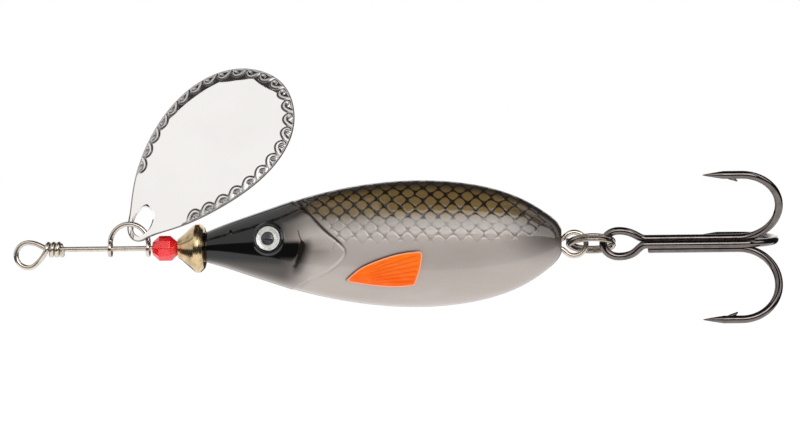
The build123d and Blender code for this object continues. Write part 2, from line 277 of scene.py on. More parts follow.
# ---------------------------------------------------------------- materials
class Nodes:
    """A material's node tree, with short calls for the nodes used here."""

    def __init__(self, name, **surface):
        self.material = bpy.data.materials.new(name)
        self.material.use_nodes = True
        self.tree = self.material.node_tree
        self.shader = self.tree.nodes["Principled BSDF"]
        for key, value in surface.items():
            self.set(key.replace("_", " "), value)

    def set(self, key, value):
        socket = next(s for s in self.shader.inputs if s.name.lower() == key.lower())
        self.put(value, socket)

    def put(self, value, socket):
        if isinstance(value, bpy.types.NodeSocket):
            self.tree.links.new(value, socket)
        elif isinstance(value, tuple) and len(value) == 3 and len(socket.default_value) == 4:
            socket.default_value = (*value, 1)
        else:
            socket.default_value = value

    def node(self, kind, inputs=(), out=0, **settings):
        node = self.tree.nodes.new("ShaderNode" + kind)
        for key, value in settings.items():
            setattr(node, key, value)
        for key, value in dict(inputs).items():
            self.put(value, node.inputs[key])
        return node.outputs[out]

    def math(self, operation, a, b=0.0):
        return self.node("Math", {0: a, 1: b}, operation=operation)

    def times(self, a, b):
        return self.math("MULTIPLY", a, b)

    def rest(self, value):
        """What is left of 1."""
        return self.math("SUBTRACT", 1.0, value)

    def attribute(self, name):
        return self.node("Attribute", out="Fac", attribute_name=name)

    def mix(self, amount, a, b):
        node = self.tree.nodes.new("ShaderNodeMix")
        node.data_type = "RGBA"
        for value, socket in ((amount, node.inputs[0]), (a, node.inputs[6]), (b, node.inputs[7])):
            self.put(value, socket)
        return node.outputs[2]

    def span(self, value, low, high, to_low=0.0, to_high=1.0, smooth=True):
        """The value's place between low and high, from to_low to to_high."""
        kind = "SMOOTHSTEP" if smooth else "LINEAR"
        inputs = {0: value, 1: low, 2: high, 3: to_low, 4: to_high}
        return self.node("MapRange", inputs, interpolation_type=kind, clamp=True)

    def place(self, scale=(1.0, 1.0, 1.0)):
        """Place on the part in millimetres, stretched by scale."""
        at = self.node("TexCoord", out="Object")
        return self.node("Mapping", {0: at, 3: tuple(s / MM for s in scale)})

    def noise(self, scale, detail=3.0, rough=0.55, stretch=(1.0, 1.0, 1.0)):
        inputs = {"Vector": self.place(stretch), "Scale": scale, "Detail": detail, "Roughness": rough}
        return self.node("TexNoise", inputs, out="Fac")

    def bump(self, height, strength, distance):
        """Relief too fine for the mesh, distance in millimetres."""
        normal = self.node("Bump", {"Strength": strength, "Distance": distance * MM, "Height": height})
        self.set("Normal", normal)


def metal(name, bright, dark, rough, grain):
    """Bare or plated metal with a fine grain and patches that are a little duller."""
    wear, polish = 0.35, 0.08
    n = Nodes(name, metallic=1.0)
    patches = n.noise(0.9, 4.0)
    scratches = n.noise(1.0, 3.0, stretch=grain)
    n.set("Base Color", n.mix(n.times(n.span(patches, 0.42, 0.7), wear), bright, dark))
    both = n.math("ADD", patches, scratches)
    n.set("Roughness", n.span(both, 0.75, 1.3, rough - polish, rough + polish, False))
    n.bump(scratches, 0.05, 0.02)
    return n.material


def make_metals():
    m = {
        "steel": metal("Stainless wire", (0.56, 0.50, 0.43), (0.26, 0.21, 0.16), 0.24, (3.0, 14.0, 14.0)),
        "clevis": metal("Clevis wire", (0.58, 0.52, 0.46), (0.22, 0.17, 0.13), 0.2, (8.0, 8.0, 8.0)),
        "ring": metal("Ring steel", (0.30, 0.26, 0.225), (0.09, 0.07, 0.055), 0.15, (10.0, 10.0, 10.0)),
        "nickel": metal("Black nickel", (0.155, 0.135, 0.128), (0.05, 0.042, 0.04), 0.13, (3.0, 12.0, 12.0)),
        "braze": metal("Braze metal", (0.16, 0.135, 0.12), (0.06, 0.05, 0.045), 0.34, (5.0, 5.0, 5.0)),
    }
    n = Nodes("Turned brass", metallic=1.0)
    rings = n.noise(1.0, 2.0, stretch=(22.0, 0.4, 0.4))
    patches = n.noise(0.8, 3.0)
    n.set("Base Color", n.mix(n.span(patches, 0.35, 0.7), (0.60, 0.46, 0.26), (0.36, 0.26, 0.14)))
    n.set("Roughness", n.span(rings, 0.3, 0.7, 0.1, 0.26, False))
    n.bump(rings, 0.25, 0.02)
    m["brass"] = n.material
    return m


materials = make_metals()


def finish_with(piece, key):
    piece.data.materials.clear()
    piece.data.materials.append(materials[key])


# ---------------------------------------------------------------- shaft, clevis, bead and cone
WIRE_R = 0.325
BORE_R = 0.375
LINE_EYE_R = 1.6
LINE_EYE_Z = -0.7
WRAP_R = 0.70
WRAP_PITCH = 0.68
WRAP_TURNS = 3
WRAP_X = 4.5
REAR_EYE_X = 69.95
REAR_EYE_R = 1.5
REAR_EYE_SHUT = 140.0
TAG_SHIFT = 0.34
TAG_X = 64.0
SHUT_LENGTH = 2.1
RUN_X = (2.9, REAR_EYE_X - 7.5)
RISE_AT = (1.5, 0, 0.52)
UNDER_AT = (1.45, -0.12, LINE_EYE_Z - 0.72)


def shaft():
    """One wire: tag in the tail, rear eye, straight shaft, line eye and three wraps."""
    shut = math.radians(REAR_EYE_SHUT)
    x, z = REAR_EYE_X + REAR_EYE_R * math.cos(shut), REAR_EYE_R * math.sin(shut)
    lean = np.array([math.sin(shut), 0, -math.cos(shut)])
    beside = x - SHUT_LENGTH
    tag = spline([(TAG_X, 0, -TAG_SHIFT), (beside, 0, -TAG_SHIFT), (x, 0, -z)], X, lean * (1, 1, -1))
    rear = arc((REAR_EYE_X, 0, 0), REAR_EYE_R, X, Z, -REAR_EYE_SHUT, REAR_EYE_SHUT, 5)
    front_x, run_x = RUN_X
    back = [(x, 0, z), (beside, 0, TAG_SHIFT), (TAG_X + 0.8, 0, TAG_SHIFT), (run_x, 0, 0)]
    back_in = spline(back, -lean, -X)
    run = np.linspace((run_x, 0, 0), (front_x, 0, 0), 120)
    top = LINE_EYE_Z + LINE_EYE_R
    rise = spline([(front_x, 0, 0), RISE_AT, (0, 0, top)], -X, -X)
    ring = arc((0, 0, LINE_EYE_Z), LINE_EYE_R, X, Z, 90, 270, 5)
    wrap_x0 = WRAP_X - WRAP_TURNS * WRAP_PITCH
    under = spline([(0, 0, LINE_EYE_Z - LINE_EYE_R), UNDER_AT, (wrap_x0, -WRAP_R, 0)], X, (0.35, 0, 1))
    turns = np.linspace(0, WRAP_TURNS, WRAP_TURNS * 48 + 1)
    coil = np.stack([wrap_x0 + WRAP_PITCH * turns, -WRAP_R * np.cos(2 * math.pi * turns),
                     WRAP_R * np.sin(2 * math.pi * turns)], 1)
    line = joined(tag, rear, back_in, run, rise, ring, under, coil)
    piece = add("shaft_wire_look", "shaft", ["shaft_wire"], [tube(line, WIRE_R, 24)])
    finish_with(piece, "steel")


CLEVIS_X = 13.05
CLEVIS_HALF_SPAN = 2.45
CLEVIS_CENTRE_Z = 0.71
CLEVIS_WIRE_R = 0.3
CLEVIS_SMOOTHED = 0.03
TAB_R = 1.05
TAB_T = 0.42


def clevis():
    """Bent wire whose flattened ends are pierced for the shaft."""
    parts = []
    arch = arc((CLEVIS_X, 0, CLEVIS_CENTRE_Z), CLEVIS_HALF_SPAN, X, Z, 0, 180, 3)
    parts.append(tube(arch, CLEVIS_WIRE_R + CLEVIS_SMOOTHED, 24))
    for side in (-1, 1):
        x = CLEVIS_X + side * CLEVIS_HALF_SPAN
        half = TAB_T / 2
        tab = [(x - half, BORE_R), (x - half, TAB_R), (x + half, TAB_R), (x + half, BORE_R)]
        parts.append(turned(tab, 72, 0.09))
    piece = add("clevis_look", "clevis", ["clevis"], parts)
    melt = piece.modifiers.new("One body", "REMESH")
    melt.mode, melt.voxel_size, melt.use_smooth_shade = "VOXEL", 0.045 * MM, True
    calm = piece.modifiers.new("Soft joins", "SMOOTH")
    calm.iterations, calm.factor = 6, 0.5
    finish_with(piece, "clevis")


BEAD_X = 17.70
BEAD_RINGS = ((-1.6, 0.85), (-0.7, 1.68), (0.7, 1.68), (1.6, 0.85))
BEAD_SIDES = 10
BEAD_BORE_R = BORE_R + 0.02


def bead():
    """Cut glass-like bead with a drilled hole."""
    turn = np.linspace(0, 2 * math.pi, BEAD_SIDES, endpoint=False)
    loops = [*BEAD_RINGS, (BEAD_RINGS[-1][0], BEAD_BORE_R), (BEAD_RINGS[0][0], BEAD_BORE_R)]
    points = np.array([(BEAD_X + x, r * math.cos(a), r * math.sin(a)) for x, r in loops for a in turn])
    faces = quads(len(loops), BEAD_SIDES, close_rows=True, close_cols=True)
    piece = add("bead_look", "bead", ["bead"], [(points, faces)], flat=True)
    bevel = piece.modifiers.new("Worn edges", "BEVEL")
    bevel.width, bevel.segments, bevel.limit_method = 0.07 * MM, 3, "ANGLE"
    bevel.angle_limit = math.radians(15)
    n = Nodes("Red bead", roughness=0.06, IOR=1.5, transmission_weight=0.12, coat_weight=0.2,
              coat_roughness=0.03, subsurface_weight=0.45, subsurface_radius=(1.0, 0.12, 0.08),
              subsurface_scale=1.2 * MM)
    swirl = n.noise(0.55, 3.0)
    n.set("Base Color", n.mix(n.span(swirl, 0.35, 0.7), (0.92, 0.012, 0.014), (1.0, 0.045, 0.05)))
    n.bump(n.noise(2.5, 3.0), 0.05, 0.03)
    piece.data.materials.append(n.material)


CONE_X = 19.35
CONE_PROFILE = ((0.0, 1.25), (0.35, 1.45), (2.0, 2.9), (2.3, 3.12), (2.9, 3.12), (3.4, 2.65), (3.6, 1.95))


def cone():
    """Turned bearing cone."""
    outer = [(CONE_X + x, r) for x, r in CONE_PROFILE]
    profile = [(outer[0][0], BORE_R), *outer, (outer[-1][0], BORE_R)]
    piece = add("bearing_cone_look", "cone", ["bearing_cone"], [turned(profile, 128, 0.09)])
    finish_with(piece, "brass")


# ---------------------------------------------------------------- blade
BLADE_LENGTH = 27.9
BLADE_T = 0.4
BLADE_DISH_R = 38.0
BLADE_PEAK = 13.7
BLADE_HOLE = 2.65
BLADE_HOLE_LONG = 3.8
BLADE_HOLE_WIDE = 3.1
BLADE_RISE = 45.4
BLADE_TWIST = 30.0
BLADE_HOLE_AT = np.array((14.80, -0.30, 3.44))
BLADE_STEP = 0.085
# Half of the blade's edge: distance from its narrow end, and half width as the camera sees it
BLADE_SIDE = ((0.0, 0.0), (0.5, 1.15), (1.6, 1.8), (3.7, 3.15), (7.1, 5.2), (11.2, 6.8), (15.7, 7.75),
              (20.4, 7.6), (24.5, 5.95), (27.1, 3.0), (BLADE_LENGTH, 0.0))
BORDER = 2.0
LIP = 0.13
RIM_LINE = 0.16
WAVE_PITCH = 2.15
WAVE_HEIGHT = 0.11
# One breaking wave of the stamped border: place along the edge, distance from the edge, half width
WAVE = ((1.13, 0.10, 0.20), (0.93, 0.48, 0.22), (0.55, 0.92, 0.22), (0.02, 1.14, 0.20), (-0.49, 0.96, 0.17),
        (-0.67, 0.60, 0.14), (-0.42, 0.36, 0.11), (-0.07, 0.44, 0.10), (0.07, 0.66, 0.10))
WAVES_FROM_TIP = 8.4


def blade_axes():
    rise, twist = math.radians(BLADE_RISE), math.radians(BLADE_TWIST)
    along = np.array([math.cos(rise), 0, math.sin(rise)])
    across = np.array([math.sin(rise), 0, -math.cos(rise)]) * math.cos(twist) - Y * math.sin(twist)
    out = -np.cross(along, across)
    return along, np.cross(out, along), out


def wave_height(s, d, total):
    """Distance from the raised border at places s along the edge and d in from it.

    The border is whole waves on a narrow rim, and the edge is total long.
    """
    curl = spline(WAVE, step=0.04)
    best = np.full(len(s), FAR)
    first = math.ceil(WAVES_FROM_TIP / WAVE_PITCH)
    last = math.floor((total - WAVES_FROM_TIP) / WAVE_PITCH) - 1
    for shift in (-1, 0, 1):
        wave = np.floor(s / WAVE_PITCH) + shift
        at = s - (wave + 0.5) * WAVE_PITCH
        gap = np.full(len(s), FAR)
        for p in curl:
            gap = np.minimum(gap, np.hypot(at - p[0], d - p[1]) - p[2])
        best = np.where((wave >= first) & (wave <= last), np.minimum(best, gap), best)
    from_tip = np.minimum(s, total - s)
    return np.minimum(best, np.where(from_tip > WAVES_FROM_TIP, d - RIM_LINE, FAR))


def blade_outline():
    """Edge of the flat blank, with the middle of the hole at 0."""
    half = math.cos(math.radians(BLADE_TWIST))
    near = [(x - BLADE_HOLE, y / half) for x, y in BLADE_SIDE]
    return even(closed_spline(near + [(x, -y) for x, y in reversed(near[1:-1])]), BLADE_STEP, True)


def blade_rows(outline):
    """Loops over the rounded edge, the front, the hole's edge and the back, and each one's level.

    The front is at level 0.5 and the back at -0.5.
    """
    least_slant, border_share = 0.45, 0.7
    way = unit(np.roll(outline, -1, 0) - np.roll(outline, 1, 0))
    inward = np.stack([way[:, 1], -way[:, 0]], 1)
    angle = np.arctan2(outline[:, 1], outline[:, 0])
    hole_r = 1 / np.hypot(np.cos(angle) / (BLADE_HOLE_LONG / 2), np.sin(angle) / (BLADE_HOLE_WIDE / 2))
    rim = np.stack([np.cos(angle), np.sin(angle)], 1) * hole_r[:, None]
    to_rim = rim - outline
    reach = np.linalg.norm(to_rim, axis=1)
    to_rim /= reach[:, None]
    slant = np.maximum(np.abs((inward * to_rim).sum(1)), least_slant)

    def row(depth):
        step = np.minimum(depth / slant, reach * border_share * depth / BORDER)
        return outline + to_rim * step[:, None]

    start = row(BORDER)
    face = [row(d) for d in (*np.arange(LIP, BORDER, BLADE_STEP), BORDER)]
    face += [start + (rim - to_rim * LIP - start) * part for part in np.linspace(0, 1, 30)[1:]]
    edge = np.radians(np.linspace(-75, 75, 7))
    rows = [row(LIP * (1 - math.cos(a))) for a in edge] + face
    rows += [rim - to_rim * LIP * (1 - math.cos(a)) for a in edge[::-1]] + face[::-1]
    round_edge = [0.5 * math.sin(a) for a in edge]
    return rows, round_edge + [0.5] * len(face) + round_edge[::-1] + [-0.5] * len(face)


def blade():
    """Dished, polished plate with a stamped wave border and an oval hole."""
    outline = blade_outline()
    rows, levels = blade_rows(outline)
    flat = np.concatenate(rows)
    level = np.repeat(levels, len(outline))
    d, s = nearest(flat, outline, True)
    total = np.linalg.norm(np.diff(np.concatenate([outline, outline[:1]]), axis=0), axis=1).sum()
    edge = wave_height(s, d, total)
    relief = ease(edge, 0.07, -0.05) * ease(d, 0.0, LIP)

    peak = BLADE_PEAK - BLADE_HOLE
    sag = BLADE_DISH_R - math.sqrt(BLADE_DISH_R**2 - peak**2)
    centre_z = sag - BLADE_DISH_R + BLADE_T / 2
    up = np.sqrt(BLADE_DISH_R**2 - (flat[:, 0] - peak)**2 - flat[:, 1]**2)
    ray = np.stack([flat[:, 0] - peak, flat[:, 1], up], 1) / BLADE_DISH_R
    on_face = np.abs(level) > 0.49
    radius = BLADE_DISH_R - BLADE_T / 2 + BLADE_T * level + WAVE_HEIGHT * (relief - 1) * on_face
    local = np.array([peak, 0, centre_z]) + ray * radius[:, None]
    along, sideways, out = blade_axes()
    points = BLADE_HOLE_AT + local[:, :1] * along + local[:, 1:2] * sideways + local[:, 2:] * out
    faces = quads(len(rows), len(outline), close_rows=True, close_cols=True)
    piece = add("blade_look", "blade", ["blade"], [(points, faces)],
                {"wave_edge": np.minimum(edge, 1.0), "edge_gap": d})
    piece.data.materials.append(plating())


def plating():
    """Mirror plating, with painted shade in the grooves beside the waves and along the rounded edge, and
    duller on top of them.
    """
    n = Nodes("Plated blade", metallic=1.0)
    gap, wave = n.attribute("edge_gap"), n.attribute("wave_edge")
    shaded_groove = n.span(n.math("ABSOLUTE", n.math("SUBTRACT", wave, 0.05)), 0.19, 0.08)
    shaded_groove = n.times(shaded_groove, n.span(gap, 0.06, 0.2))
    shaded_groove = n.times(shaded_groove, n.span(gap, 0.5, 1.0, 0.55, 1.0))
    cloud = n.noise(0.12, 3.0)
    base = n.mix(n.span(cloud, 0.3, 0.7), (0.90, 0.88, 0.86), (0.87, 0.85, 0.83))
    # Painted shade: darker base colour along the rounded edge of the blade.
    base = n.mix(n.span(gap, 0.2, 0.07, 0.0, 0.85), base, (0.10, 0.075, 0.055))
    # Painted shade: near-black base colour in the grooves beside the waves.
    n.set("Base Color", n.mix(n.times(shaded_groove, 0.93), base, (0.030, 0.020, 0.014)))
    fine = n.noise(1.0, 2.0, stretch=(6.0, 6.0, 6.0))
    rough = n.span(n.math("ADD", fine, shaded_groove), 0.5, 1.6, 0.012, 0.3, False)
    raised = n.span(wave, 0.0, -0.07, 0.0, 0.38)
    n.set("Roughness", n.math("ADD", rough, raised))
    return n.material


# ---------------------------------------------------------------- fish body
# x along the shaft, height of the middle, half height, half thickness
BODY_STATIONS = (
    (23.0, 0.10, 1.95, 1.90), (25.0, 0.20, 2.65, 2.40), (28.0, 0.22, 3.68, 2.95), (32.5, 0.22, 5.15, 3.60),
    (38.0, 0.24, 6.65, 4.05), (44.0, 0.25, 7.70, 4.30), (49.5, 0.25, 8.08, 4.30), (55.0, 0.26, 7.80, 4.00),
    (60.0, 0.28, 6.82, 3.40), (64.0, 0.32, 5.20, 2.65), (66.6, 0.38, 3.50, 2.00), (68.0, 0.42, 2.15, 1.55),
    (68.35, 0.42, 1.45, 1.25),
)
WALL = 1.0
BUSH_R = 1.1
TAIL_BORE_R = 0.75
TAIL_MOUTH_R = 1.12
OPEN = 9.0
# Bore through each half: place along the shaft and radius, OPEN where only the wall limits it
INSIDE = ((23.0, BUSH_R), (27.0, BUSH_R), (28.5, OPEN), (58.5, OPEN),
          (60.5, TAIL_BORE_R), (66.65, TAIL_BORE_R), (68.35, TAIL_MOUTH_R))
LEAST_INSIDE = 0.6
EYE_AT = np.array((31.25, 3.10, 1.1))
EYE_WAY = np.array((-0.165, 0.975, 0.12))
EYE_R = 1.55
EYE_DISC_T = 0.25
PUPIL_R = 0.85
PUPIL_T = 0.06
DOME_H = 0.45
NOSTRIL_AT = (26.2, 1.85)
SCALE_LONG = 1.92
SCALE_TALL = 1.0
SCALE_TILT = 4.0
SCALE_LEVEL_X = 46.0
SCALE_SQUASH = 0.96
SCALE_JITTER = (0.34, 0.24)
SCALE_NUMBERS = 9973

GILL = ((35.5, 5.3), (37.0, 3.7), (38.5, 2.1), (39.9, 0.95), (40.85, 0.0), (41.15, -0.68), (40.95, -1.25),
        (40.25, -2.05), (38.7, -3.2), (36.4, -4.25), (35.1, -4.9))
CHEEK = ((35.1, 2.1), (35.35, 1.2), (35.6, 0.55), (35.25, -0.85), (34.6, -2.25))
CREASE = ((39.95, 0.75), (39.4, -0.4))
FIN = (((41.2, -4.2), (42.6, -3.0), (44.8, -1.93), (47.15, -1.17), (48.9, -0.83), (50.3, -0.72)),
       ((50.3, -0.72), (50.72, -0.86), (50.8, -1.25)),
       ((50.8, -1.25), (50.66, -2.28), (50.3, -3.62), (49.75, -5.0)),
       ((49.75, -5.0), (48.0, -5.18), (46.2, -5.15), (43.5, -4.85), (41.5, -4.5)))


def fin_outline(step=0.08):
    return even(joined(*(spline(run, step=0.05) for run in FIN)), step, True)


body_lines = even(spline(BODY_STATIONS, step=0.05), 0.115)


def half_section(x):
    """Middle height, half height and half thickness of the body at x."""
    return (np.interp(x, body_lines[:, 0], body_lines[:, k]) for k in (1, 2, 3))


def on_skin(x, z):
    """Half thickness of the body at a place in its side view."""
    middle, high, thick = half_section(x)
    return thick * np.sqrt(np.clip(1 - ((z - middle) / high)**2, 0.0, 1))


def jitter(number, wave, gain):
    """From -0.5 to 0.5: it looks random, but follows from the number."""
    return np.sin(number * wave) * gain % 1 - 0.5


def scale_cells(x, w):
    """Distance to the nearest scale edge, a number for each scale, and the place in the scale."""
    w = w + math.tan(math.radians(SCALE_TILT)) * (x - SCALE_LEVEL_X)
    row = np.floor(w / SCALE_TALL).astype(int)
    best = [np.full(len(x), FAR) for _ in range(3)]
    number, du, dv = np.zeros((3, len(x)))
    for k in (row + r for r in range(-2, 4)):
        shift = np.where(k % 2, 0.5, 0.0)
        col = np.floor(x / SCALE_LONG - shift).astype(int)
        for j in (col + c for c in range(-1, 3)):
            name = (j * 73 + k * 179 + SEED * 31) % SCALE_NUMBERS
            cx = (j + shift) * SCALE_LONG + jitter(name, 12.9898, 43758.5453) * SCALE_JITTER[0]
            cz = k * SCALE_TALL + jitter(name, 78.233, 12543.123) * SCALE_JITTER[1]
            gap = np.hypot((x - cx) * SCALE_SQUASH, (w - cz))
            closer = gap < best[0]
            number = np.where(closer, name / SCALE_NUMBERS, number)
            du, dv = np.where(closer, x - cx, du), np.where(closer, w - cz, dv)
            best[2] = np.minimum(best[2], np.maximum(best[1], gap))
            best[1] = np.minimum(best[1], np.maximum(best[0], gap))
            best[0] = np.minimum(best[0], gap)
    edge = 0.5 * (0.8 * (best[1] - best[0]) + 0.2 * (best[2] - best[0]))
    return edge, number, du, dv


def colour_areas(x, z, rise, gill_side):
    """How much scale print, gold, dark back, black and smoke there is at each place."""
    behind = ease(gill_side, 0.05, 0.35)
    nape = ease(z - 0.25 * (x - 33), 3.0, 3.7) * ease(x, 32.5, 34.5)
    belly = 0.75 + 1.5 * ease(x, 62, 68)
    scaled = np.maximum(behind, nape) * ease(z, belly - 0.7, belly + 0.6)
    gold = ease(z, 3.0, 4.3) * np.maximum(behind, nape)
    gold = np.maximum(gold, ease(z - 0.55 * (66 - x), 0.6, 2.4) * ease(x, 60, 63))
    back = ease(rise, 0.80, 0.97)

    jaw = -1.3 - 0.06 * (x - 23)
    snout = ease(x, 33.9, 32.4) * ease(z - jaw, -0.9, 0.3)
    below_eye = ease(x, 35.7, 35.1) * ease(z, -2.0, -1.1) * ease(z, 1.1, 0.4)
    crown = ease(z - 0.30 * (x - 33), 2.5, 3.5) * ease(x, 39.0, 33.5) * 0.95
    ink = np.maximum.reduce([snout, below_eye, crown])

    throat = 0.97 * ease(x - 0.45 * (z + 3), 37.8, 33.0) * ease(rise, -1.2, -0.7) * ease(z, 1.5, -0.5)
    gill_cover = 0.75 * ease(gill_side, -0.3, -4.8) * ease(z, -3.4, -1.2) * ease(z, 0.5, -0.5)
    cheek = ease(x, 37.0, 33.2) * ease(z, -0.5, 1.5) * 0.8
    tail = ease(x, 59.5, 67.0) * ease(z, -3.6, 1.8) * 0.97
    return scaled, gold, back, ink, np.maximum.reduce([throat, gill_cover, cheek, tail])


def skin_layers(x, z, w):
    """Relief and paint layers of one side: x and z in side view, w along the skin."""
    flat = np.stack([x, z], 1)
    middle, high, _ = half_section(x)
    rise = (z - middle) / high
    gill, gill_s = nearest(flat, spline(GILL))
    gill_side = np.where(inside(flat, np.array([(20, 12), *GILL, (20, -12)])), -gill, gill)
    cheek, cheek_s = nearest(flat, spline(CHEEK))
    crease, _ = nearest(flat, np.array(CREASE))
    fin_loop = fin_outline(0.2)
    fin, _ = nearest(flat, fin_loop, True)
    fin = np.where(inside(flat, fin_loop), -fin, fin)
    eye = np.hypot(x - EYE_AT[0], z - EYE_AT[2])
    edge, number, du, dv = scale_cells(x, w)
    scaled, gold, back, ink, smoke = colour_areas(x, z, rise, gill_side)

    strong = ease(gill_s, 9.6, 6.4)
    thin = ease(cheek_s, 1.2, 1.9)
    gill_line = gill - 0.10 * (0.4 + 0.6 * strong)
    cheek_line = cheek - (0.02 + 0.30 * thin * ease(cheek_s, 4.6, 3.0))
    line = np.minimum.reduce([gill_line, cheek_line, crease + 0.02])
    fade = 1 - (1 - strong * 0.97) * ease(gill, 0.5, 0.1)
    # Painted shade: a soft dark band on the rear side of the cheek crease.
    halo = ease(cheek, 1.7, 0.1) * thin * ease(x - 0.3 * z, 34.9, 35.5) * 0.9
    fin_shade = ease(fin, 0.34, 0.1) * ease(z - (-4.35 + 0.40 * (x - 41.0)), -0.3, 0.4)

    relief = 0.035 * scaled * (ease(edge, 0.0, 0.2) - 1)
    gill_step = 0.10 * ease(gill_side, 0.0, -0.3) * ease(gill_side, -5.0, -0.3)
    relief += -0.13 * ease(gill, 0.26, 0.0) * (0.35 + 0.65 * strong) + gill_step
    relief += -0.10 * ease(cheek, 0.4, 0.0) * thin - 0.05 * ease(crease, 0.2, 0.0)
    relief += 0.20 * ease(eye, 2.12, 1.86) * ease(eye, 1.45, 1.6) - 0.35 * ease(eye, 1.62, 1.5)
    nostril = np.hypot(x - NOSTRIL_AT[0], z - NOSTRIL_AT[1])
    relief += 0.07 * ease(nostril, 0.42, 0.1)
    return relief, {
        "scale_edge": edge, "scale_number": number, "scale_along": du, "scale_up": dv, "scaled": scaled,
        "gold": gold, "back": back, "ink": ink, "smoke": smoke, "line_gap": line, "line_fade": fade,
        "halo": halo, "fin_shade": fin_shade, "eye_gap": eye, "side_z": z,
    }


SKIN_COLS = 180
WIDEST = (4.3, 8.0)
SEAM_DEPTH = 0.05


def skin_turns():
    """Angles round half a section, evenly spaced along the skin of one as wide and high as WIDEST."""
    fine = np.linspace(0, math.pi, 2000)
    steps = np.hypot(np.diff(WIDEST[0] * np.sin(fine)), np.diff(WIDEST[1] * np.cos(fine)))
    girth = np.concatenate([[0], np.cumsum(steps)])
    return np.interp(np.linspace(0, girth[-1], SKIN_COLS), girth, fine)


def outer_skin(side, turn):
    """Outer surface of one half with its relief and the seam's edge, and its layers."""
    x, middle, high, thick = body_lines.T
    ox = np.repeat(x[:, None], SKIN_COLS, 1)
    oy = side * thick[:, None] * np.sin(turn)
    oz = middle[:, None] + high[:, None] * np.cos(turn)
    outer = np.stack([ox, oy, oz], -1)
    w = np.zeros_like(ox)
    w[:, 1:] = -np.cumsum(np.hypot(np.diff(oy, axis=1), np.diff(oz, axis=1)), axis=1)
    mid_col = np.abs(turn - math.pi / 2).argmin()
    w -= w[:, mid_col:mid_col + 1]
    relief, layers = skin_layers(ox.ravel(), oz.ravel(), w.ravel())
    normal = unit(np.cross(np.gradient(outer, axis=0), np.gradient(outer, axis=1)) * side)
    if normal[len(x) // 2, mid_col, 1] * side < 0:
        normal = -normal
    normal[:, [0, -1], 1] = 0
    row = np.arange(len(x))
    fade = np.minimum(ease(np.sin(turn), 0.0, 0.10)[None], ease(row, 0, 3)[:, None])
    fade = fade * ease(row, len(x) - 1, len(x) - 6)[:, None]
    seam = -SEAM_DEPTH * ease(np.sin(turn), 0.03, 0.0)[None]
    height = relief.reshape(ox.shape) * fade + seam
    return outer + normal * height[..., None], layers


def inner_skin(side, turn):
    """Inside of one half: a hollow one wall in from the skin, and the bores at its ends."""
    x, middle, high, thick = body_lines.T
    bore = np.interp(x, *zip(*INSIDE))
    high = np.maximum(np.minimum(high - WALL, bore), LEAST_INSIDE)[:, None]
    thick = np.maximum(np.minimum(thick - WALL, bore), LEAST_INSIDE)[:, None]
    on_shaft = middle * np.clip((bore - TAIL_MOUTH_R) / 4, 0, 1)
    middle = np.where(bore < OPEN - 1, on_shaft, middle)[:, None]
    ix = np.repeat(x[:, None], SKIN_COLS, 1)
    return np.stack([ix, side * thick * np.sin(turn), middle + high * np.cos(turn)], -1)


def shell_faces(rows, cols):
    """Faces of an outer and an inner grid, joined along their four edges."""
    size = rows * cols
    faces = quads(rows, cols) + [face[::-1] for face in quads(rows, cols, start=size)]
    columns = [(c, [(r * cols + c, (r + 1) * cols + c) for r in range(rows - 1)]) for c in (0, cols - 1)]
    ends = [(r, [(r * cols + c + 1, r * cols + c) for c in range(cols - 1)]) for r in (0, rows - 1)]
    for place, pairs in columns + ends:
        faces += [[a, b, b + size, a + size] if place == 0 else [b, a, a + size, b + size] for a, b in pairs]
    return faces


def shell(side, name, node):
    """One moulded half: skin with its relief, parting faces and hollow inside."""
    turn = skin_turns()
    outer, layers = outer_skin(side, turn)
    points = np.concatenate([outer.reshape(-1, 3), inner_skin(side, turn).reshape(-1, 3)])
    faces = shell_faces(*outer.shape[:2])
    if side > 0:
        faces = [face[::-1] for face in faces]
    layers = {key: np.concatenate([value, value]) for key, value in layers.items()}
    finish_with(add(name, "body", [node], [(points, faces)], layers), "paint")


def gold_scales(n):
    """Each scale its own gold-green, some with a painted highlight streak across them."""
    number = n.attribute("scale_number")
    tint = n.mix(number, (0.105, 0.066, 0.022), (0.30, 0.20, 0.065))
    # Painted highlight: a bright streak across some scales.
    streak = n.math("ADD", n.times(n.attribute("scale_along"), 0.75), n.attribute("scale_up"))
    streak = n.math("SUBTRACT", streak, n.times(n.math("SUBTRACT", number, 0.5), 0.8))
    glint = n.rest(n.span(n.math("ABSOLUTE", streak), 0.03, 0.16))
    glint = n.times(glint, n.span(number, 0.35, 0.8))
    return n.mix(n.times(glint, 0.75), tint, (0.68, 0.54, 0.33))


def scale_outlines(n, gold, base):
    """Dark line round each scale, wide and black on the gold, thinner and grey on the silver."""
    wide = n.span(gold, 0.0, 1.0, 0.14, 0.22, False)
    amount = n.rest(n.node("MapRange", {0: n.attribute("scale_edge"), 1: n.times(wide, 0.45), 2: wide},
                           interpolation_type="SMOOTHSTEP", clamp=True))
    amount = n.times(amount, n.attribute("scaled"))
    tint = n.mix(n.span(gold, 0.02, 0.4), (0.17, 0.145, 0.12), (0.010, 0.005, 0.002))
    return n.mix(n.times(amount, n.span(gold, 0.0, 0.5, 0.72, 1.0)), base, tint)


